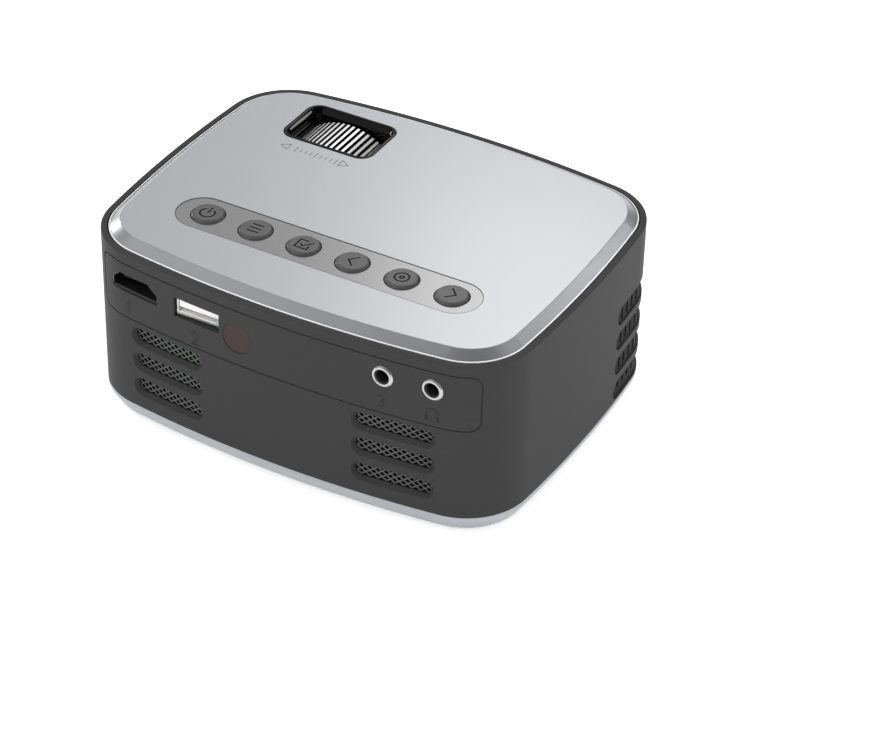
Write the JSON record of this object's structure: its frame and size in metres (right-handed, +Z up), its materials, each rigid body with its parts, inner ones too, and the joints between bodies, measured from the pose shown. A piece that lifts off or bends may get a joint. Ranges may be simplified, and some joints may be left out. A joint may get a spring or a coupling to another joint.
{
  "type": "mini projector",
  "caption": "Palm-size table projector: dark bowed sleeve with mesh vents, bevelled silver lid with a row of keys and a focus wheel in a window, silver base pan.",
  "frame": {"origin": "on the surface that the feet stand on, under the centre of the case", "axes": "+Z up, +X along the longer side, +Y out of the socket face; the lens looks along -Y"},
  "size_m": [0.128, 0.1014, 0.0556],
  "materials": {
    "dark_shell": "fine moulded texture",
    "silver_cover": "satin silver paint",
    "silver_base": "satin silver paint",
    "strip_metal": "fine satin",
    "key_plastic": "satin dark metal paint",
    "gloss_black": "gloss",
    "black_plastic": "matt",
    "wheel_silver": "bright silver",
    "mesh_metal": "satin black",
    "rubber": "matt",
    "steel": "plated",
    "collar_chrome": "polished",
    "brass": "turned",
    "board_green": "solder mask",
    "white_plastic": "smooth",
    "ir_maroon": "smooth",
    "aluminium": "extruded",
    "lens_glass": "coated",
    "mirror": "front silvered",
    "panel_glass": "polarised",
    "flex_amber": "film",
    "led_yellow": "phosphor"
  },
  "bodies": {
    "case": {"body_shell": "dark_shell", "top_cover": "silver_cover", "base_cover": "silver_base", "rubber_feet": "rubber", "case_screws": "steel", "tripod_nut": "brass", "button_strip": "strip_metal", "key_board": "board_green", "key_switches": "black_plastic", "board_screws": "steel", "focus_bezel": "gloss_black", "lens_trim": "gloss_black", "lens_bracket": "black_plastic", "engine_housing": "black_plastic", "fold_mirror": "mirror", "condenser_lens": "lens_glass", "fresnel_back": "lens_glass", "lcd_panel": "panel_glass", "fresnel_front": "lens_glass", "lcd_ribbon": "flex_amber", "led_board": "board_green", "led_chip": "led_yellow", "heat_sink": "aluminium", "fan_frame": "black_plastic", "rear_grille_left": "mesh_metal", "rear_grille_right": "mesh_metal", "side_grille_left": "mesh_metal", "side_grille_right": "mesh_metal", "main_board": "board_green", "board_chips": "black_plastic", "hdmi_socket": "steel", "hdmi_tongue": "black_plastic", "usb_socket": "steel", "usb_tongue": "white_plastic", "ir_window": "ir_maroon", "ir_receiver": "black_plastic", "av_jack": "black_plastic", "av_collar": "collar_chrome", "headphone_jack": "black_plastic", "headphone_collar": "collar_chrome", "dc_inlet": "black_plastic", "dc_pin": "steel", "speaker": "black_plastic", "speaker_magnet": "steel"},
    "button_power": {"button_power": "key_plastic"},
    "button_menu": {"button_menu": "key_plastic"},
    "button_source": {"button_source": "key_plastic"},
    "button_left": {"button_left": "key_plastic"},
    "button_ok": {"button_ok": "key_plastic"},
    "button_right": {"button_right": "key_plastic"},
    "focus_ring": {"focus_ring": "wheel_silver"},
    "lens_barrel": {"lens_barrel": "black_plastic", "front_lens": "lens_glass", "rear_lens": "lens_glass", "lens_retainer": "black_plastic"},
    "fan_rotor": {"fan_rotor": "black_plastic"}
  },
  "joints": [
    {"name": "power_press", "type": "slide", "parent": "case", "child": "button_power", "axis": [0, 0, -1], "range_m": [0, 0.0004], "stiffness_N_per_m": 1500, "springref_m": -0.0005},
    {"name": "menu_press", "type": "slide", "parent": "case", "child": "button_menu", "axis": [0, 0, -1], "range_m": [0, 0.0004], "stiffness_N_per_m": 1500, "springref_m": -0.0005},
    {"name": "source_press", "type": "slide", "parent": "case", "child": "button_source", "axis": [0, 0, -1], "range_m": [0, 0.0004], "stiffness_N_per_m": 1500, "springref_m": -0.0005},
    {"name": "left_press", "type": "slide", "parent": "case", "child": "button_left", "axis": [0, 0, -1], "range_m": [0, 0.0004], "stiffness_N_per_m": 1500, "springref_m": -0.0005},
    {"name": "ok_press", "type": "slide", "parent": "case", "child": "button_ok", "axis": [0, 0, -1], "range_m": [0, 0.0004], "stiffness_N_per_m": 1500, "springref_m": -0.0005},
    {"name": "right_press", "type": "slide", "parent": "case", "child": "button_right", "axis": [0, 0, -1], "range_m": [0, 0.0004], "stiffness_N_per_m": 1500, "springref_m": -0.0005},
    {"name": "focus_turn", "type": "hinge", "parent": "case", "child": "focus_ring", "pos_m": [0.0293, -0.03, 0.0363], "axis": [0, 1, 0], "range_deg": [-90, 90]},
    {"name": "focus_slide", "type": "slide", "parent": "focus_ring", "child": "lens_barrel", "axis": [0, 1, 0], "range_m": [-0.003, 0.003]},
    {"name": "fan_spin", "type": "hinge", "parent": "case", "child": "fan_rotor", "pos_m": [-0.0534, -0.013, 0.026], "axis": [1, 0, 0], "continuous": true}
  ],
  "couplings": [
    {"joint": "focus_slide", "follows": "focus_turn", "m_per_rad": 0.0017}
  ]
}
